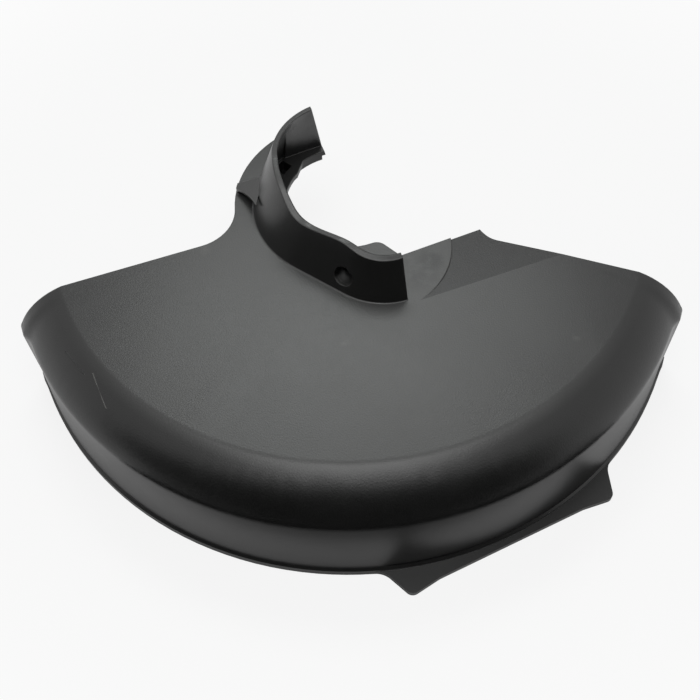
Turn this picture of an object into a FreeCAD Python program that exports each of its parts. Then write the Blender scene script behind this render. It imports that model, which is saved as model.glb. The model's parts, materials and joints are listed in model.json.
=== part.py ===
import FreeCAD, Part
import math
import os
from FreeCAD import Vector

# Shield: a fan about the trimmer's head axis, with the plate's top at height 0 and the front towards -Y
fan_half_angle = 71.1
edge_offset = 3.2
wall = 2.5
flat_radius = 131.8
crease_angle = 15.0
crease_step = 0.2
roll_radius = 31.5
roll_end_slope = 64.0
shoulder_radius = 6.0
wall_draft = 2.3
skirt_depth = 59.6
lip_overhang = 0.9
lip_height = 3.6

# Raised land that stiffens the skirt along its two free rear edges, and the riser up to it
land_width = 5.3
land_overrun = 1.0
riser_width = 7.0
riser_steps = 4
riser_height = 2.1
foot_riser_height = 0.5

# Straight seat for the line knife at the skirt's foot, with an ear at each end
knife_direction = -65.0
knife_reach = 2.7
knife_thickness = 2.6
knife_half_length = 49.0
ear_slant = 23.0
ear_length = 14.0
ear_flare = 1.8
ear_radius = 3.5
ear_root_radius = 9.0

# Leaning collar round the head: hook arc, side arc, straight side and nose, each tangent to the next
collar_wall = 2.3
collar_lean = 19.5
hook_radius = 42.4
hook_tip_angle = 109.6
hook_blend_angle = 150.0
side_shift = 3.0
straight_normal = 235.4
straight_length = 26.0
nose_radius = 30.0
nose_end_angle = 288.3

# Height of the collar's rim, from the nose at the front to the hook at the back
nose_height = 19.3
straight_height = 22.3
dip_height = 21.1
shoulder_height = 28.0
crest_height = 31.5
hook_height = 30.2
nose_station = -56.0
straight_station = -42.0
dip_station = -33.5
shoulder_station = -20.0
crest_station = -9.0
hook_station = 38.0
rim_fillet = 0.5
base_fillet = 0.8

# Slanted end of the hook, with the angle that its pieces run on before they are cut
tip_slant = 10.2
tip_overrun = 6.0

# Screw hole, square to the straight side
screw_diameter = 9.0
screw_along = 23.5
screw_height = 7.6

# Flange outside the hook, and the floor that leaves the head's passage open
flange_radius = 51.2
flange_fillet = 20.0
passage_radius = 28.2
passage_end_angle = 298.0
passage_end_fillet = 5.0
floor_corner_x = 22.6
floor_corner_y = -33.6
pocket_corner_x = 58.2
pocket_corner_y = -18.9
pocket_blend = 70.0

# Seat ring, inner panel and latch pockets in the hook
seat_radius = 31.5
seat_wall = 2.5
seat_depth = 5.0
seat_start_angle = 112.0
seat_lip_angle = 131.0
seat_end_angle = 200.0
panel_normal = 111.0
panel_distance = 36.2
panel_step = 0.3
panel_floor_angle = 137.0
panel_top_radius = 28.1
panel_top_angle = 155.0
latch_start_angle = 138.0
latch_depth = 8.0
latch_floor = 1.8
latch_rib = 1.6
latch_margin = 1.2
latch_turn = 11.0
latch_count = 2

# Landing, and the facet that falls away behind its crease on the right of the collar
landing_x = 8.0
landing_y = -27.8
landing_radius = 37.0
facet_x = 26.1
facet_y = -59.1
facet_angle = 20.0
facet_fall = 3.0

# Hooded lug on the flange
lug_rear_angle = 170.7
lug_outer_width = 3.0
lug_inner_width = 13.0
lug_bow = 2.0
lug_wall = 1.2
lug_margin = 0.5
lug_inner_height = 9.8
lug_outer_height = 3.0

centre = Vector(0, 0, 0)
axis = Vector(0, 0, 1)
far = 400.0
join_tolerance = 0.001
floor_corner = Vector(floor_corner_x, floor_corner_y, 0)
pocket_corner = Vector(pocket_corner_x, pocket_corner_y, 0)
landing_centre = Vector(landing_x, landing_y, 0)
facet_start = Vector(facet_x, facet_y, 0)
lean = math.tan(math.radians(collar_lean))
hook_start_angle = hook_tip_angle - tip_overrun
wall_slope = 90.0 - wall_draft
draft = math.tan(math.radians(wall_draft))


def facing(slope, reach):
    """Offset in the XZ plane, square to the skirt's outside where it slopes down by an angle."""
    turn = math.radians(slope)
    return Vector(reach * math.sin(turn), 0, reach * math.cos(turn))


roll_centre = Vector(flat_radius, 0, 0) - facing(crease_angle, roll_radius)
shoulder_centre = roll_centre + facing(roll_end_slope, roll_radius - shoulder_radius)
shoulder_end = shoulder_centre + facing(wall_slope, shoulder_radius)
foot_radius = shoulder_end.x + draft * (shoulder_end.z + skirt_depth)
lip_radius = foot_radius + lip_overhang
knife_distance = lip_radius + knife_reach


def spot(radius, degrees, height=0.0, about=centre):
    """Point at a radius and an angle round a centre."""
    turn = math.radians(degrees)
    return Vector(about.x + radius * math.cos(turn), about.y + radius * math.sin(turn), height)


def arc(radius, start, end, height=0.0, about=centre):
    """Arc edge from one angle to another round a centre."""
    ends = [spot(radius, degrees, height, about) for degrees in (start, (start + end) / 2, end)]
    return Part.Arc(*ends).toShape()


def polygon(points):
    """Closed run of straight edges."""
    return Part.makePolygon(points + points[:1]).Edges


def prism(edges, bottom, top):
    """Upright solid over a closed outline that is drawn at height 0."""
    face = Part.Face(Part.Wire(edges))
    face.translate(Vector(0, 0, bottom))
    return face.extrude(Vector(0, 0, top - bottom))


def ring_outline(inner, outer, start, end, height=0.0):
    """Outline of a piece of a ring about the head axis."""
    return [arc(outer, start, end, height),
            Part.makeLine(spot(outer, end, height), spot(inner, end, height)),
            arc(inner, end, start, height),
            Part.makeLine(spot(inner, start, height), spot(outer, start, height))]


def turned(shape, degrees):
    """Copy turned about the head axis."""
    copy = shape.copy()
    copy.rotate(centre, axis, degrees)
    return copy


def edge_direction(side):
    """Direction of a rear edge, with side 1 on the right and -1 on the left."""
    return -90 + side * fan_half_angle


def edge_front(side):
    """Direction from a rear edge towards the shield."""
    return edge_direction(side) - side * 90


def edge_point(side, along):
    """Point on a rear edge, which passes in front of the head axis."""
    return spot(along, edge_direction(side)) + spot(edge_offset, edge_front(side))


def skirt_point(slope, depth, share):
    """Point at a depth under the skirt's outside, moved out by a share of the riser."""
    bent_about = roll_centre if slope <= roll_end_slope else shoulder_centre
    radius = roll_radius if slope <= roll_end_slope else shoulder_radius
    lift = share * riser_height * (slope - crease_angle) / (wall_slope - crease_angle)
    return bent_about + facing(slope, radius - depth + lift)


def skirt_section(share):
    """Closed section of roll, shoulder, wall and lip in the XZ plane, with a tongue into the plate."""
    slopes = [crease_angle, (crease_angle + roll_end_slope) / 2, roll_end_slope,
              (roll_end_slope + wall_slope) / 2, wall_slope]
    outer = [skirt_point(slope, 0.0, share) for slope in slopes]
    inner = [skirt_point(slope, wall, share) for slope in slopes]
    out = share * foot_riser_height
    lip_top = lip_height - skirt_depth
    root_height = lip_height + lip_overhang
    outline = Part.makePolygon([
        outer[4],
        Vector(foot_radius + out - draft * root_height, 0, root_height - skirt_depth),
        Vector(lip_radius + out, 0, lip_top),
        Vector(lip_radius + out, 0, -skirt_depth),
        Vector(foot_radius + out - wall, 0, -skirt_depth),
        inner[4]])
    tongue = Part.makePolygon([
        Vector(flat_radius, 0, -wall - crease_step),
        Vector(flat_radius - wall / 2, 0, -wall / 2),
        outer[0]])
    return Part.Wire([
        Part.Arc(outer[0], outer[1], outer[2]).toShape(),
        Part.Arc(outer[2], outer[3], outer[4]).toShape(),
        *outline.Edges,
        Part.Arc(inner[4], inner[3], inner[2]).toShape(),
        Part.Arc(inner[2], inner[1], tongue.Vertexes[0].Point).toShape(),
        *tongue.Edges])


def behind_edge(side, distance):
    """Turn about the head axis from a rear edge's direction to the foot at a distance in front of it."""
    return side * math.degrees(math.asin((edge_offset + distance) / foot_radius))


def raised_end(side):
    """End of the skirt: a riser that is soft at its foot, then a land that is cut off at the rear edge."""
    direction = edge_direction(side)
    wires = []
    for step in range(riser_steps + 1):
        share = step / riser_steps
        distance = land_width + (1 - share) * riser_width
        wires.append(turned(skirt_section(share ** 2), direction - behind_edge(side, distance)))
    land_start = behind_edge(side, land_width)
    land = turned(Part.Face(skirt_section(1.0)), direction - land_start)
    land = land.revolve(centre, axis, land_start - behind_edge(side, -land_overrun))
    back = spot(-far, edge_front(side))
    corners = [edge_point(side, 0), edge_point(side, far)]
    behind = prism(polygon(corners + [corner + back for corner in reversed(corners)]), -far, far)
    return [Part.makeLoft(wires, True, False), land.cut(behind)]


def skirt():
    """Roll, shoulder, skirt wall and lip between the two raised ends."""
    inset = behind_edge(1, land_width + riser_width)
    section = turned(Part.Face(skirt_section(0.0)), edge_direction(-1) + inset)
    middle = section.revolve(centre, axis, 2 * (fan_half_angle - inset))
    return middle.fuse(raised_end(1) + raised_end(-1))


def upright_edges(shape, height, wanted):
    """Straight upright edges of a given height whose foot is wanted."""
    found = []
    for edge in shape.Edges:
        ends = [vertex.Point for vertex in edge.Vertexes]
        if len(ends) == 2 and abs(abs(ends[1].z - ends[0].z) - height) < join_tolerance:
            if abs(edge.Length - height) < join_tolerance and wanted(ends[0]):
                found.append(edge)
    return found


def knife_seat():
    """Flat ledge at the foot with a straight outer edge and two ears, drawn along +X and then turned."""
    root = math.sqrt(foot_radius ** 2 - knife_half_length ** 2) - 2 * ear_root_radius
    spread = knife_half_length + math.tan(math.radians(ear_slant)) * (knife_distance - root)
    straight = knife_half_length - ear_length
    tip = knife_distance + ear_flare
    corners = [Vector(knife_distance, -straight, 0), Vector(knife_distance, straight, 0),
               Vector(tip, knife_half_length, 0), Vector(root, spread, 0),
               Vector(root, -spread, 0), Vector(tip, -knife_half_length, 0)]
    ledge = prism(polygon(corners), 0, knife_thickness)
    tips = upright_edges(ledge, knife_thickness, lambda foot: foot.x > tip - join_tolerance)
    ledge = ledge.makeFillet(ear_radius, tips)
    ledge = ledge.fuse(Part.makeCylinder(lip_radius, knife_thickness)).removeSplitter()
    on_lip = lambda foot: abs(math.hypot(foot.x, foot.y) - lip_radius) < join_tolerance
    at_flank = lambda foot: foot.x > root and abs(foot.y) > knife_half_length and on_lip(foot)
    ledge = ledge.makeFillet(ear_root_radius, upright_edges(ledge, knife_thickness, at_flank))
    reach = spread + 2 * ear_root_radius
    ledge = ledge.common(Part.makeBox(far, 2 * reach, knife_thickness, Vector(root, -reach, 0)))
    ledge = ledge.cut(Part.makeCylinder(foot_radius - wall / 2, knife_thickness))
    ledge.translate(Vector(0, 0, -skirt_depth))
    return turned(ledge, knife_direction)


def plate_outline():
    """Outline of the plate round the head: hook flange, head passage, landing and the two rear edges."""
    left_front = spot(1, edge_front(-1))
    inset = edge_offset - flange_fillet
    along = math.sqrt((flange_radius + flange_fillet) ** 2 - inset ** 2)
    fillet_centre = left_front * inset + spot(along, edge_direction(-1))
    on_edge = fillet_centre + left_front * flange_fillet
    on_flange = fillet_centre * (flange_radius / (flange_radius + flange_fillet))
    fillet_middle = (on_edge + on_flange) * 0.5 - fillet_centre
    fillet_middle.normalize()
    flange_start = math.degrees(math.atan2(on_flange.y, on_flange.x)) % 360
    lip_end_angle = seat_lip_angle + math.degrees(2 * (seat_radius - passage_radius) / passage_radius)
    bend = Part.BezierCurve()
    bend_middle = edge_point(1, (pocket_corner.Length + pocket_blend) / 2)
    bend.setPoles([pocket_corner, bend_middle, edge_point(1, pocket_blend)])
    reach = math.sqrt(flat_radius ** 2 - edge_offset ** 2)
    return [
        Part.makeLine(edge_point(-1, reach), on_edge),
        Part.Arc(on_edge, fillet_centre + fillet_middle * flange_fillet, on_flange).toShape(),
        arc(flange_radius, flange_start, hook_start_angle),
        Part.makeLine(spot(flange_radius, hook_start_angle), spot(seat_radius, hook_start_angle)),
        arc(seat_radius, hook_start_angle, seat_lip_angle),
        Part.makeLine(spot(seat_radius, seat_lip_angle), spot(passage_radius, lip_end_angle)),
        arc(passage_radius, lip_end_angle, passage_end_angle),
        Part.makeLine(spot(passage_radius, passage_end_angle), floor_corner),
        Part.makeLine(floor_corner, pocket_corner),
        bend.toShape(),
        Part.makeLine(edge_point(1, pocket_blend), edge_point(1, reach)),
        Part.Arc(edge_point(1, reach), spot(flat_radius, -90), edge_point(-1, reach)).toShape()]


def plate():
    """Flat plate round the head, with the corner of its floor beside the passage rounded."""
    flat = prism(plate_outline(), -wall, 0)
    corner = spot(passage_radius, passage_end_angle)
    at_corner = lambda foot: math.hypot(foot.x - corner.x, foot.y - corner.y) < join_tolerance
    return flat.makeFillet(passage_end_fillet, upright_edges(flat, wall, at_corner))


def bend_facet(plate):
    """Plate with the part behind the crease bent down, clear of the landing."""
    back = spot(1, facet_angle + 90)
    depth = (floor_corner - facet_start).dot(back) + wall
    low = facet_start + back * depth
    fall = Vector(0, 0, -depth * math.tan(math.radians(facet_fall)))
    wedge = Part.Face(Part.makePolygon([facet_start, low, low + fall, facet_start]))
    wedge = wedge.extrude(spot(flat_radius, facet_angle))
    wedge = wedge.cut(Part.makeCylinder(landing_radius, 2 * far, landing_centre - axis * far))
    under = wedge.copy()
    under.translate(Vector(0, 0, -wall))
    return plate.cut(wedge).fuse(under.common(prism(plate_outline(), -far, far)))


def collar_run(height, inset):
    """Edges of the collar at a height, moved inwards by its lean and an inset."""
    shrink = lean * height + inset
    side_centre = spot(-side_shift, hook_blend_angle)
    side_radius = hook_radius + side_shift
    straight_start = spot(side_radius, straight_normal, height, side_centre)
    straight_end = straight_start + spot(straight_length, straight_normal + 90)
    nose_centre = straight_end - spot(nose_radius, straight_normal)
    inwards = spot(-shrink, straight_normal)
    return [
        arc(hook_radius - shrink, hook_start_angle, hook_blend_angle, height),
        arc(side_radius - shrink, hook_blend_angle, straight_normal, height, side_centre),
        Part.makeLine(straight_start + inwards, straight_end + inwards),
        arc(nose_radius - shrink, straight_normal, nose_end_angle, height, nose_centre)]


def collar_ring(height):
    """Closed outline of the collar's wall at a height."""
    outer = collar_run(height, 0.0)
    inner = collar_run(height, collar_wall)
    ends = [Part.makeLine(inner[at].valueAt(inner[at].getParameterByLength(share * inner[at].Length)),
                          outer[at].valueAt(outer[at].getParameterByLength(share * outer[at].Length)))
            for at, share in ((0, 0), (-1, 1))]
    return Part.Wire(Part.__sortEdges__(outer + inner + ends))


def outside_edges(shape, low, high):
    """Edges on the collar's outside whose middle lies between two heights."""
    found = []
    for edge in shape.Edges:
        middle = edge.valueAt((edge.FirstParameter + edge.LastParameter) / 2)
        if low < middle.z < high:
            run = Part.Wire(collar_run(middle.z, 0.0))
            if run.distToShape(Part.Vertex(middle))[0] < join_tolerance:
                found.append(edge)
    return found


def above_rim():
    """Space above the collar's rim, which rises from the nose to the hook."""
    stations = [(nose_station, nose_height), (straight_station, straight_height),
                (dip_station, dip_height), (shoulder_station, shoulder_height),
                (crest_station, crest_height), (hook_station, hook_height)]
    points = [Vector(-far, along, height) for along, height in stations]
    rise = Part.BSplineCurve()
    rise.interpolate(Points=points, InitialTangent=Vector(0, 1, 0), FinalTangent=Vector(0, 1, 0))
    corners = [points[-1], Vector(-far, far, hook_height), Vector(-far, far, far), Vector(-far, -far, far),
               Vector(-far, -far, nose_height), points[0]]
    outline = Part.Wire([rise.toShape()] + Part.makePolygon(corners).Edges)
    return Part.Face(outline).extrude(Vector(2 * far, 0, 0))


def screw_bore():
    """Cylinder of the screw hole, square to the leaning straight side."""
    straight = collar_run(screw_height, 0.0)[2]
    outwards = spot(1, straight_normal, lean)
    outwards.normalize()
    middle = straight.Vertexes[0].Point + spot(screw_along, straight_normal + 90)
    start = middle - outwards * 2 * collar_wall
    return Part.makeCylinder(screw_diameter / 2, 4 * collar_wall, start, outwards)


def panel_outline(height, inner_edge):
    """Outline of the hook's inner panel at a height, from its inner edge to the middle of the wall."""
    outer = hook_radius - collar_wall / 2 - lean * height
    start, end = inner_edge.Vertexes[0].Point, inner_edge.Vertexes[-1].Point
    angles = [math.degrees(math.atan2(point.y, point.x)) % 360 for point in (start, end)]
    return Part.Wire([
        inner_edge,
        Part.makeLine(end, spot(outer, angles[1], height)),
        arc(outer, angles[1], angles[0], height),
        Part.makeLine(spot(outer, angles[0], height), start)])


def hook_panel(top):
    """Inner panel of the hook, straight at the floor, that runs into the leaning wall towards the rim."""
    far_corner = spot(hook_radius - collar_wall - panel_step, panel_floor_angle)
    near = panel_distance / math.cos(math.radians(hook_start_angle - panel_normal))
    sunk = Vector(0, 0, -wall)
    floor_edge = Part.makeLine(spot(near, hook_start_angle) + sunk, far_corner + sunk)
    rim_edge = arc(panel_top_radius, hook_start_angle, panel_top_angle, top)
    return Part.makeLoft([panel_outline(-wall, floor_edge), panel_outline(top, rim_edge)], True, True)


def collar():
    """Leaning wall and inner panel with a rounded rim and the screw hole."""
    top = crest_height + 2 * wall
    ring = Part.makeLoft([collar_ring(-wall), collar_ring(top)], True, True)
    ring = ring.fuse(hook_panel(top)).cut(above_rim())
    rim = outside_edges(ring, nose_height - collar_wall, far)
    return ring.makeFillet(rim_fillet, rim).cut(screw_bore())


def past_tip():
    """Space past the hook's slanted end."""
    slant = far * math.tan(math.radians(tip_slant))
    corners = [Vector(0, -slant, -far), Vector(0, slant, far), Vector(0, -far, far), Vector(0, -far, -far)]
    space = Part.Face(Part.Wire(polygon(corners))).extrude(Vector(far, 0, 0))
    return turned(space, hook_tip_angle)


def hook_seat():
    """Seat ring under the floor, with latch pockets sunk behind it between ribs."""
    ring = ring_outline(seat_radius, seat_radius + seat_wall, seat_start_angle, seat_end_angle)
    rib_turn = math.degrees(latch_rib / seat_radius)
    block_end = latch_start_angle + rib_turn + latch_count * (latch_turn + rib_turn)
    outer = hook_radius - collar_wall / 2
    block = ring_outline(seat_radius, outer, latch_start_angle, block_end)
    return prism(ring, -seat_depth, 0).fuse(prism(block, -latch_depth, 0))


def latch_pockets():
    """Hollows of the latch pockets, open at the top."""
    rib_turn = math.degrees(latch_rib / seat_radius)
    outer = hook_radius - collar_wall - latch_margin
    pockets = []
    for number in range(latch_count):
        start = latch_start_angle + rib_turn + number * (latch_turn + rib_turn)
        outline = ring_outline(seat_radius + latch_rib, outer, start, start + latch_turn)
        pockets.append(prism(outline, latch_floor - latch_depth, 0))
    return pockets


def lug_side(inset):
    """Side face of the lug in the XZ plane, made smaller by an inset for its hollow."""
    near = hook_radius - collar_wall / 2
    outside = flange_radius - lug_margin - inset
    foot = Vector(near + lean * wall / 2, 0, -wall / 2)
    corners = [foot, Vector(outside, 0, -wall / 2), Vector(outside, 0, lug_outer_height - inset),
               Vector(near - lean * lug_inner_height, 0, lug_inner_height - inset), foot]
    return Part.Face(Part.makePolygon(corners))


def hooded_lug():
    """Hollow wedge from the collar to the flange's edge, open to the front, drawn along +X and turned."""
    outside = flange_radius - lug_margin
    inside = hook_radius - collar_wall - lean * lug_inner_height
    spread = (lug_inner_width - lug_outer_width) / (outside - hook_radius)
    front = lug_outer_width + spread * (outside - inside)
    rear = Part.makePolygon([Vector(inside, front, 0), Vector(inside, 0, 0),
                             Vector(outside, 0, 0), Vector(outside, lug_outer_width, 0)])
    first, last = rear.Vertexes[0].Point, rear.Vertexes[-1].Point
    arch = Part.Arc(last, (first + last) * 0.5 - Vector(0, lug_bow, 0), first)
    plan = prism(rear.Edges + [arch.toShape()], -wall, 2 * lug_inner_height)
    hollow = lug_side(lug_wall).extrude(Vector(0, 2 * front, 0))
    hollow.translate(Vector(0, lug_wall, 0))
    hollow = hollow.common(Part.makeBox(far, far, far))
    lug = lug_side(0.0).extrude(Vector(0, front, 0)).common(plan).cut(hollow)
    return turned(lug, lug_rear_angle)


def blade_guard():
    """The whole moulding."""
    body = bend_facet(plate()).fuse(collar()).removeSplitter()
    body = body.makeFillet(base_fillet, outside_edges(body, -join_tolerance, join_tolerance))
    pieces = (skirt(), knife_seat(), hook_seat(), hooded_lug())
    return body.fuse(pieces, join_tolerance).cut(latch_pockets() + [past_tip()]).removeSplitter()


os.makedirs("parts", exist_ok=True)
guard = blade_guard()
print("blade_guard valid", guard.isValid(), "solids", len(guard.Solids), "volume", round(guard.Volume))
guard.exportStep("parts/blade_guard.step")
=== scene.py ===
import json
import math

import bmesh
import bpy
from mathutils import Matrix, Vector


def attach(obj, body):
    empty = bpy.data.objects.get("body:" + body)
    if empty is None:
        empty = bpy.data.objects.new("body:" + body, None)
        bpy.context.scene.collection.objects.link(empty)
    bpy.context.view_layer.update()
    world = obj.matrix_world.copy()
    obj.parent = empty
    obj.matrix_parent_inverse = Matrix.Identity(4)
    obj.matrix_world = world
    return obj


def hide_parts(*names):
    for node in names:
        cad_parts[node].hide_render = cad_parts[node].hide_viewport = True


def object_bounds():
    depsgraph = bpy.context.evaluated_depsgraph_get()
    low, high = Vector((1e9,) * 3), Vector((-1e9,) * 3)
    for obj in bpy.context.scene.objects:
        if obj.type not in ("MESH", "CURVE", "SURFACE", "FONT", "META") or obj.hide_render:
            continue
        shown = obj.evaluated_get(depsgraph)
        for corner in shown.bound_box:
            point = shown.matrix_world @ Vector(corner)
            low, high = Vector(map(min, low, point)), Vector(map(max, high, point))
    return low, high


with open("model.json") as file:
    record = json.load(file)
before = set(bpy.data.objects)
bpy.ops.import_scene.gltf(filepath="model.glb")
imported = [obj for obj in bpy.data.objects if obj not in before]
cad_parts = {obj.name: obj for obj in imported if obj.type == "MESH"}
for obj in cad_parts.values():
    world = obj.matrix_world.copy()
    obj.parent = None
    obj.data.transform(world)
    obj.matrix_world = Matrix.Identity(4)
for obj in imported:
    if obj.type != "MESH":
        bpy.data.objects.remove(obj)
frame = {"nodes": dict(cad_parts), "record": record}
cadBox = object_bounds()
scene = bpy.context.scene
print("frame loaded", cadBox)


class Wire:
    # a socket of a node tree, so that shader maths reads as plain sums
    def __init__(self, tree, socket=None):
        self.tree = tree
        self.socket = socket

    def node(self, kind, settings, sockets, out=0):
        made = self.tree.nodes.new(kind)
        for name, value in settings.items():
            setattr(made, name, value)
        for name, value in sockets.items():
            if isinstance(value, Wire):
                self.tree.links.new(value.socket, made.inputs[name])
            else:
                made.inputs[name].default_value = value
        return Wire(self.tree, made.outputs[out] if len(made.outputs) else None)

    def maths(self, operation, left, right):
        return self.node("ShaderNodeMath", {"operation": operation}, {0: left, 1: right})

    def __add__(self, other):
        return self.maths("ADD", self, other)

    def __radd__(self, other):
        return self.maths("ADD", other, self)

    def __sub__(self, other):
        return self.maths("SUBTRACT", self, other)

    def __rsub__(self, other):
        return self.maths("SUBTRACT", other, self)

    def __mul__(self, other):
        return self.maths("MULTIPLY", self, other)

    def __rmul__(self, other):
        return self.maths("MULTIPLY", other, self)


def newTree(owner):
    owner.use_nodes = True
    owner.node_tree.nodes.clear()
    return Wire(owner.node_tree)


def objectPlace(tree):
    return tree.node("ShaderNodeTexCoord", {}, {}, out="Object")


def upwards(vector):  # the Z part of a place or a normal
    return vector.node("ShaderNodeSeparateXYZ", {}, {"Vector": vector}, out="Z")


def fade(value, low, high):  # 0 at low, 1 at high, smooth between
    sockets = {"Value": value, "From Min": low, "From Max": high}
    return value.node("ShaderNodeMapRange", {"interpolation_type": "SMOOTHSTEP"}, sockets)


def noise(place, size, detail, rough):
    sockets = {"Vector": place, "Scale": 1.0 / size, "Detail": detail, "Roughness": rough}
    return place.node("ShaderNodeTexNoise", {}, sockets)


def mixColour(amount, base, over):
    sockets = {0: amount, 6: base, 7: over}  # 6 and 7 are the two colours of a colour mix
    return amount.node("ShaderNodeMix", {"data_type": "RGBA"}, sockets, out=2)


def vectorMaths(operation, left, right, out="Vector"):
    return left.node("ShaderNodeVectorMath", {"operation": operation}, {0: left, 1: right}, out)


def distanceTo(place, point):
    return vectorMaths("DISTANCE", place, point, out="Value")


def lineDistance(place, start, end):
    along = Vector(end) - Vector(start)
    offset = vectorMaths("SUBTRACT", place, start)
    share = vectorMaths("DOT_PRODUCT", offset, along / along.length_squared, out="Value")
    held = place.node("ShaderNodeClamp", {}, {"Value": share})
    foot = place.node("ShaderNodeVectorMath", {"operation": "SCALE"}, {0: along, "Scale": held})
    return distanceTo(offset, foot)


guardShape = {
    "weld": 2e-6,  # joins the loose triangles of the frame's mesh
    "sharpAngle": math.radians(24),  # edges that turn more than this stay crisp
    "flatTilt": math.radians(8),  # faces this near to level meet in a crisp crease
    "creaseAngle": math.radians(0.6),
    "noseTip": (0.0155, -0.046, 0.0204),  # the rim is trimmed level past this corner
}


def makeGuard(node):
    mesh = bpy.data.meshes.new("guardMoulding")
    bm = bmesh.new()
    bm.from_mesh(node.data)
    bmesh.ops.remove_doubles(bm, verts=bm.verts, dist=guardShape["weld"])
    bmesh.ops.dissolve_degenerate(bm, edges=bm.edges, dist=guardShape["weld"])
    tipX, tipY, tipZ = guardShape["noseTip"]
    for vert in bm.verts:
        if vert.co.x > tipX and vert.co.y < tipY and vert.co.z > tipZ:
            vert.co.z = tipZ
    for face in bm.faces:
        face.smooth = True
    level = math.cos(guardShape["flatTilt"])
    for edge in bm.edges:
        flat = all(face.normal.z > level for face in edge.link_faces)
        limit = guardShape["creaseAngle"] if flat else guardShape["sharpAngle"]
        edge.smooth = len(edge.link_faces) == 2 and edge.calc_face_angle() < limit
    loose = sum(1 for edge in bm.edges if len(edge.link_faces) != 2)
    bm.to_mesh(mesh)
    bm.free()
    guard = bpy.data.objects.new("guardMoulding", mesh)
    scene.collection.objects.link(guard)
    weighted = guard.modifiers.new("evenFaces", "WEIGHTED_NORMAL")
    weighted.keep_sharp = True
    print("guard moulding", len(mesh.polygons), "faces,", loose, "open edges")
    return guard


edgeLook = {
    "foot": 0.00015,  # radius of the edges at the foot, elsewhere and on the collar's rim
    "edge": 0.0006,
    "rim": 0.0009,
    "rimLevels": (0.009, 0.012),
    "shoulder": 0.004,  # added radius where the roll meets the wall, between these levels
    "shoulderFrom": (-0.034, -0.020),
    "shoulderTo": (-0.016, -0.010),
    "samples": 8,
    "paleEdgeTurn": (0.01, 0.12),  # how far a rounded edge turns before it goes pale, as wear and as a painted highlight
    "paleEdgeStreaks": (0.38, 0.62),
    "paleEdgeStrength": 0.35,
}


def roundEdges(height, grained):
    onRim = fade(height, *edgeLook["rimLevels"])
    onShoulder = fade(height, *edgeLook["shoulderFrom"]) * (1 - fade(height, *edgeLook["shoulderTo"]))
    radius = edgeLook["foot"] + (edgeLook["edge"] - edgeLook["foot"]) * grained
    radius = radius + (edgeLook["rim"] - edgeLook["edge"]) * onRim
    radius = radius + edgeLook["shoulder"] * onShoulder
    return height.node("ShaderNodeBevel", {"samples": edgeLook["samples"]}, {"Radius": radius})


# pale rounded edges: partly wear, partly a painted highlight along the edges
def edgeWearAndHighlight(rounded, facing, streak):
    turned = 1 - vectorMaths("DOT_PRODUCT", rounded, facing, out="Value")
    return fade(turned, *edgeLook["paleEdgeTurn"]) * fade(streak, *edgeLook["paleEdgeStreaks"])


markLook = {
    "scratchEdge": (0.3, 0.7),  # shares of its width between which a scratch fades out
    "scuffStreaks": (0.40, 0.60),
}
scratches = [  # cut is a depth in heights of the grain
    {
        "from": (-0.1180, -0.0769, -0.0041),
        "to": (-0.1089, -0.0882, -0.0036),
        "width": 0.0006,
        "pale": 0.0,
        "cut": 9.0,
    },
    {
        "from": (-0.1048, -0.0888, -0.0021),
        "to": (-0.0984, -0.1034, -0.0054),
        "width": 0.0005,
        "pale": 0.8,
        "cut": 3.0,
    },
]
scuffs = [
    {"at": (-0.0020, -0.0779, 0.0), "reach": 0.0032, "pale": 0.30},
    {"at": (-0.0629, -0.0278, 0.0), "reach": 0.0045, "pale": 0.20},
    {"at": (0.0927, -0.0782, 0.0), "reach": 0.0030, "pale": 0.25},
]


def addMarks(place, streak, relief, pale):
    for mark in scratches:
        edge = [mark["width"] * share for share in markLook["scratchEdge"]]
        inside = 1 - fade(lineDistance(place, mark["from"], mark["to"]), *edge)
        relief = relief - inside * mark["cut"]
        pale = pale + inside * mark["pale"]
    for mark in scuffs:
        inside = 1 - fade(distanceTo(place, mark["at"]), 0.0, mark["reach"])
        pale = pale + inside * fade(streak, *markLook["scuffStreaks"]) * mark["pale"]
    return relief, pale


highlightLook = {
    "levels": (-0.0026, -0.0002),  # heights over which the painted highlight comes in
    "upright": (0.4, 0.8),
    "facet": (0.060, -0.028, 0.0),  # middle of the facet, whose slope gets less of the painted highlight, as painted shade
    "facetReach": (0.052, 0.058),
    "facetTilt": (0.9990, 0.9997),
    "highlightMiddle": (0.0, -0.075, 0.0),  # middle of the painted highlight, which thins towards the rear corners as painted shade
    "highlightReach": (0.062, 0.130),
    "thinned": 0.85,
    "gapCore": 0.2,  # share of a gap's reach where the painted highlight is evenly gone
    "gapStreaks": (0.30, 0.60),
    "even": 0.5,  # the painted highlight's even share, and what the blotches and the grain add
    "byCloud": 0.5,
    "byGrain": 0.5,
}
highlightGaps = [  # spots of the flat top where the painted highlight is taken off, so they are darker
    {"at": (0.0355, -0.0362, 0.0), "reach": 0.0075, "dark": 0.9},
    {"at": (0.0300, -0.0420, 0.0), "reach": 0.0150, "dark": 0.6},
]


# painted highlight: the flat top is made paler where its faces look up; less down the roll, on the facet's
# tilt and at the rear corners, as painted shade
def highlightOnTop(place, height, upright, streak):
    onTop = fade(height, *highlightLook["levels"]) * fade(upright, *highlightLook["upright"])
    nearFacet = 1 - fade(distanceTo(place, highlightLook["facet"]), *highlightLook["facetReach"])
    onTop = onTop * (1 - nearFacet * (1 - fade(upright, *highlightLook["facetTilt"])))
    fromMiddle = distanceTo(place, highlightLook["highlightMiddle"])
    onTop = onTop * (1 - highlightLook["thinned"] * fade(fromMiddle, *highlightLook["highlightReach"]))
    # painted shade: the painted highlight is taken off these spots
    for mark in highlightGaps:
        core = mark["reach"] * highlightLook["gapCore"]
        inside = 1 - fade(distanceTo(place, mark["at"]), core, mark["reach"])
        onTop = onTop * (1 - inside * fade(streak, *highlightLook["gapStreaks"]) * mark["dark"])
    return onTop


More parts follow.
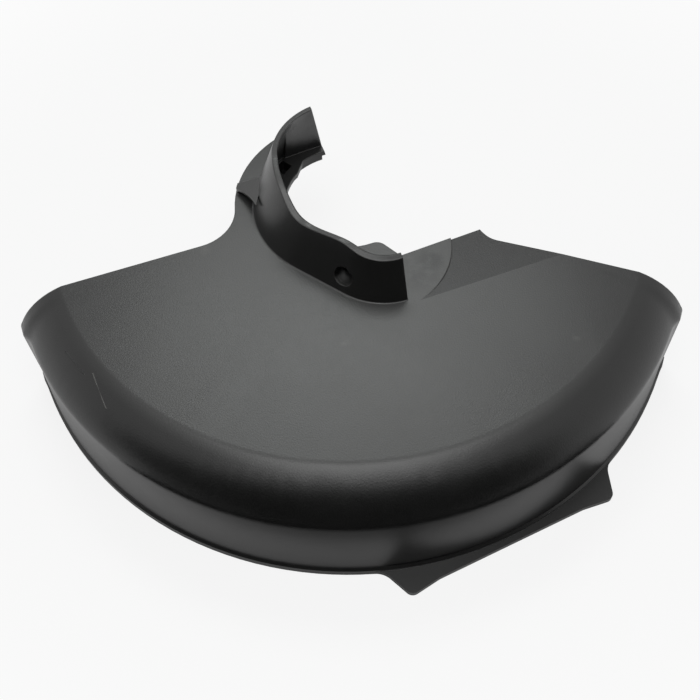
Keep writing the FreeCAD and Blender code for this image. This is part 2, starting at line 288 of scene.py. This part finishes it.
plasticLook = {
    "charcoal": (0.0050, 0.0051, 0.0050, 1),
    "faded": (0.0120, 0.0121, 0.0118, 1),
    "highlightPale": (0.0400, 0.0406, 0.0397, 1),  # painted highlight: the flat top made paler where it faces up
    # pale of worn edges, scratches and scuffs, and of the painted highlight along edges
    "wearAndHighlight": (0.11, 0.108, 0.102, 1),
    "ior": 1.46,
    "grain": {"size": 0.00070, "detail": 3.0, "rough": 0.6},  # the moulded grain
    "cloud": {"size": 0.03, "detail": 3.0, "rough": 0.5},  # broad blotches
    "streak": {"size": 0.006, "detail": 4.0, "rough": 0.6},  # finer blotches
    "grainHeight": 0.00008,
    "grainStrength": 0.8,
    "grainedFrom": (-0.0195, -0.0175),  # the skirt's wall is polished below these levels
    "fadedByCloud": 0.5,
    "fadedByStreak": 0.3,
    "roughness": {"base": 0.27, "grained": -0.03, "cloud": 0.06, "streak": 0.04, "grain": 0.10},
}


def makePlastic():
    plastic = bpy.data.materials.new("charcoalPlastic")
    tree = newTree(plastic)
    place = objectPlace(tree)
    facing = tree.node("ShaderNodeNewGeometry", {}, {}, out="Normal")
    height = upwards(place)
    grained = fade(height, *plasticLook["grainedFrom"])
    grain = noise(place, **plasticLook["grain"])
    cloud = noise(place, **plasticLook["cloud"])
    streak = noise(place, **plasticLook["streak"])

    rounded = roundEdges(height, grained)
    wearAndHighlight = edgeWearAndHighlight(rounded, facing, streak) * grained
    relief, pale = addMarks(place, streak, grain * grained, wearAndHighlight * edgeLook["paleEdgeStrength"])
    bump = {
        "Height": relief,
        "Distance": plasticLook["grainHeight"],
        "Strength": plasticLook["grainStrength"],
        "Normal": rounded,
    }

    blotches = plasticLook["fadedByCloud"] * cloud + plasticLook["fadedByStreak"] * streak
    # the painted highlight of the flat top, mixed into the base colour below
    topHighlight = highlightOnTop(place, height, upwards(facing), streak)
    topHighlight = topHighlight * (highlightLook["even"] + highlightLook["byCloud"] * cloud + highlightLook["byGrain"] * grain)
    colour = mixColour(blotches, plasticLook["charcoal"], plasticLook["faded"])
    colour = mixColour(topHighlight, colour, plasticLook["highlightPale"])
    colour = mixColour(tree.node("ShaderNodeClamp", {}, {"Value": pale}), colour, plasticLook["wearAndHighlight"])

    share = plasticLook["roughness"]
    roughness = share["base"] + share["grained"] * grained + share["cloud"] * cloud
    roughness = roughness + share["streak"] * streak + share["grain"] * grain * grained
    sockets = {
        "Base Color": colour,
        "Roughness": roughness,
        "Normal": tree.node("ShaderNodeBump", {}, bump),
        "IOR": plasticLook["ior"],
    }
    surface = tree.node("ShaderNodeBsdfPrincipled", {}, sockets)
    tree.node("ShaderNodeOutputMaterial", {}, {"Surface": surface})
    return plastic


sleeveShape = {
    "wall": 0.0015,
    "depth": 0.0100,  # from the middle of the collar's wall inwards
    "floor": 0.0018,
    "pilot": 0.0021,  # radius of the small hole for the screw's shank
    "slack": 0.00008,  # keeps the sleeve's bore just outside the hole's
    "chamfer": 0.0006,
    "segments": 48,
}


def fixOrder(parts, middle):
    # spin leaves its parts in no fixed order, so they are put in one
    for index, part in enumerate(sorted(parts, key=lambda part: tuple(middle(part)))):
        part.index = index
    parts.sort()


def makeSleeve(mount):
    # the short sleeve behind the collar's screw hole, spun from its section
    bore = mount["dims"]["r_mm"] / 1000 + sleeveShape["slack"]
    outside = bore + sleeveShape["wall"]
    low = -sleeveShape["depth"]
    ledge = low + sleeveShape["floor"]
    chamfer = sleeveShape["chamfer"]
    section = [(bore, 0), (bore, ledge), (sleeveShape["pilot"], ledge), (sleeveShape["pilot"], low)]
    section += [(outside - chamfer, low), (outside, low + chamfer), (outside, 0)]
    bm = bmesh.new()
    corners = [bm.verts.new((reach, 0, level)) for reach, level in section]
    sides = [bm.edges.new((corner, corners[index - 1])) for index, corner in enumerate(corners)]
    turn = {"axis": (0, 0, 1), "angle": math.tau, "steps": sleeveShape["segments"], "use_merge": True}
    bmesh.ops.spin(bm, geom=corners + sides, **turn)
    bmesh.ops.remove_doubles(bm, verts=bm.verts, dist=guardShape["weld"])
    bmesh.ops.recalc_face_normals(bm, faces=bm.faces)
    outward = Vector(mount["axis"]).to_track_quat("Z", "Y").to_matrix().to_4x4()
    bmesh.ops.transform(bm, verts=bm.verts, matrix=Matrix.Translation(mount["pos_m"]) @ outward)
    fixOrder(bm.verts, lambda vert: vert.co)
    fixOrder(bm.faces, lambda face: face.calc_center_median())
    for face in bm.faces:
        face.smooth = True
    for edge in bm.edges:
        edge.smooth = edge.calc_face_angle() < guardShape["sharpAngle"]
    mesh = bpy.data.meshes.new("screwSleeve")
    bm.to_mesh(mesh)
    bm.free()
    sleeve = bpy.data.objects.new("screwSleeve", mesh)
    scene.collection.objects.link(sleeve)
    print("screw sleeve", len(mesh.polygons), "faces")
    return sleeve


plastic = makePlastic()
guard = makeGuard(frame["nodes"]["blade_guard"])
guard.data.materials.append(plastic)
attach(guard, "root")
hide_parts("blade_guard")

screwHole = next(mount for mount in frame["record"]["mounts"] if mount["name"] == "collar_screw")
sleeve = makeSleeve(screwHole)
sleeve.data.materials.append(plastic)
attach(sleeve, "root")
print("plastic given to the guard and the sleeve")


studio = {
    "floorSize": 6.0,
    "floorDrop": 0.0001,
    "floorColour": (0.95, 0.95, 0.95, 1),
    "white": (1, 1, 1, 1),
    "whiteFrom": (0.17, 0.45),  # past this distance the floor is as white as the backdrop
    "floorGlow": 0.80,  # how far the floor is lifted to white for the eye
    "contact": 0.03,  # reach of the shade where the foot meets the floor
    "contactSamples": 8,
    "fill": 0.20,
    "cardColour": (0.002, 0.002, 0.002, 1),
}
blackCard = {"at": (-0.12, -0.29, 0.045), "size": (0.90, 0.208)}
blackMat = {  # an arc that lies nearest to the skirt at the front
    "centre": (0, 0.03, 0),
    "inner": 0.200,
    "outer": 0.320,
    "from": 230,  # degrees from +X
    "to": 318,
    "steps": 48,
}
softboxes = [
    {
        "name": "rearSoftbox",
        "at": (-0.05, 0.645, 1.1),
        "size": (0.60, 0.44),
        "power": 4.5,
        "tint": (0.965, 1, 0.985),
    },
    {
        "name": "frontSoftbox",
        "at": (0.0, -0.46, 1.2),
        "size": (0.90, 0.80),
        "power": 7.9,
        "tint": (1, 1, 1),
    },
]


def rayIs(tree, kind):
    return tree.node("ShaderNodeLightPath", {}, {}, out="Is " + kind + " Ray")


def seenDirectly(tree):
    # rays from the eye, from a mirror and through glass all meet the white backdrop
    seen = rayIs(tree, "Camera") + rayIs(tree, "Glossy") + rayIs(tree, "Transmission")
    return tree.maths("MINIMUM", seen, 1.0)


def addStage(name, bm):
    mesh = bpy.data.meshes.new(name)
    bm.to_mesh(mesh)
    bm.free()
    panel = bpy.data.objects.new(name, mesh)
    scene.collection.objects.link(panel)
    look = bpy.data.materials.new(name)
    mesh.materials.append(look)
    return panel, newTree(look)


def makeFloor():
    bm = bmesh.new()
    level = Matrix.Translation((0, 0, cadBox[0][2] - studio["floorDrop"]))
    bmesh.ops.create_grid(bm, x_segments=1, y_segments=1, size=studio["floorSize"] / 2, matrix=level)
    tree = addStage("whiteFloor", bm)[1]
    apart = distanceTo(objectPlace(tree), (0, 0, cadBox[0][2]))
    glow = studio["floorGlow"] + (1 - studio["floorGlow"]) * fade(apart, *studio["whiteFrom"])
    # the shade where the foot meets the floor shows in the gloss
    reach = {"Distance": studio["contact"]}
    clear = tree.node("ShaderNodeAmbientOcclusion", {"samples": studio["contactSamples"]}, reach, out="AO")
    shade = rayIs(tree, "Glossy") * (1 - clear * clear)
    seen = seenDirectly(tree) * glow * (1 - shade)
    colour = mixColour(shade, studio["floorColour"], studio["cardColour"])
    matte = tree.node("ShaderNodeBsdfDiffuse", {}, {"Color": colour})
    white = tree.node("ShaderNodeEmission", {}, {"Color": studio["white"], "Strength": 1.0})
    mixed = tree.node("ShaderNodeMixShader", {}, {0: seen, 1: matte, 2: white})
    tree.node("ShaderNodeOutputMaterial", {}, {"Surface": mixed})


def makeDark(panel, tree):
    # a black surface that only reflections show
    panel.visible_camera = False
    panel.visible_shadow = False
    panel.visible_diffuse = False
    matte = tree.node("ShaderNodeBsdfDiffuse", {}, {"Color": studio["cardColour"]})
    tree.node("ShaderNodeOutputMaterial", {}, {"Surface": matte})


def makeCard():
    bm = bmesh.new()
    upright = Matrix.Translation(blackCard["at"]) @ Matrix.Rotation(math.radians(90), 4, "X")
    bmesh.ops.create_grid(bm, x_segments=1, y_segments=1, size=0.5)  # one metre square, then scaled
    scaled = Matrix.Diagonal((*blackCard["size"], 1, 1))
    bmesh.ops.transform(bm, verts=bm.verts, matrix=upright @ scaled)
    makeDark(*addStage("blackCard", bm))


def makeMat():
    bm = bmesh.new()
    level = cadBox[0][2] + studio["floorDrop"]
    turn = Matrix.Rotation(math.radians(blackMat["from"]), 3, "Z")
    centre = Vector(blackMat["centre"])
    reaches = (blackMat["inner"], blackMat["outer"])
    ends = [bm.verts.new(centre + turn @ Vector((reach, 0, level))) for reach in reaches]
    edge = bm.edges.new(ends)
    sweep = {"cent": centre, "axis": (0, 0, 1), "steps": blackMat["steps"]}
    sweep["angle"] = math.radians(blackMat["to"] - blackMat["from"])
    bmesh.ops.spin(bm, geom=ends + [edge], **sweep)
    makeDark(*addStage("blackMat", bm))


def makeWorld():
    world = bpy.data.worlds.new("studioWorld")
    scene.world = world
    tree = newTree(world)
    strength = studio["fill"] + (1.0 - studio["fill"]) * seenDirectly(tree)
    sky = tree.node("ShaderNodeBackground", {}, {"Color": studio["white"], "Strength": strength})
    tree.node("ShaderNodeOutputWorld", {}, {"Surface": sky})


def makeSoftbox(box):
    lamp = bpy.data.lights.new(box["name"], "AREA")
    lamp.shape = "RECTANGLE"
    lamp.size, lamp.size_y = box["size"]
    lamp.energy = box["power"]
    lamp.color = box["tint"]
    holder = bpy.data.objects.new(box["name"], lamp)
    scene.collection.objects.link(holder)
    holder.location = box["at"]


makeFloor()
makeCard()
makeMat()
makeWorld()
for box in softboxes:
    makeSoftbox(box)
print("studio set")


viewpoint = {
    "place": (0.005426, -0.30468, 0.34115),
    "heading": math.radians(1.4),
    "tilt": math.radians(33.153),
    "roll": math.radians(-2.533),
    "lens": 51.43,  # lens and sensor in millimetres
    "sensor": 36.0,
    "nearest": 0.01,
}


def makeCamera():
    optics = bpy.data.cameras.new("photoCamera")
    optics.sensor_width = viewpoint["sensor"]
    optics.lens = viewpoint["lens"]
    optics.clip_start = viewpoint["nearest"]
    camera = bpy.data.objects.new("photoCamera", optics)
    scene.collection.objects.link(camera)
    heading = Matrix.Rotation(viewpoint["heading"], 4, "Z")
    tilt = Matrix.Rotation(viewpoint["tilt"], 4, "X")
    roll = Matrix.Rotation(viewpoint["roll"], 4, "Z")
    camera.matrix_world = Matrix.Translation(viewpoint["place"]) @ heading @ tilt @ roll
    scene.camera = camera


makeCamera()
scene.view_settings.view_transform = "Standard"
print("camera set")
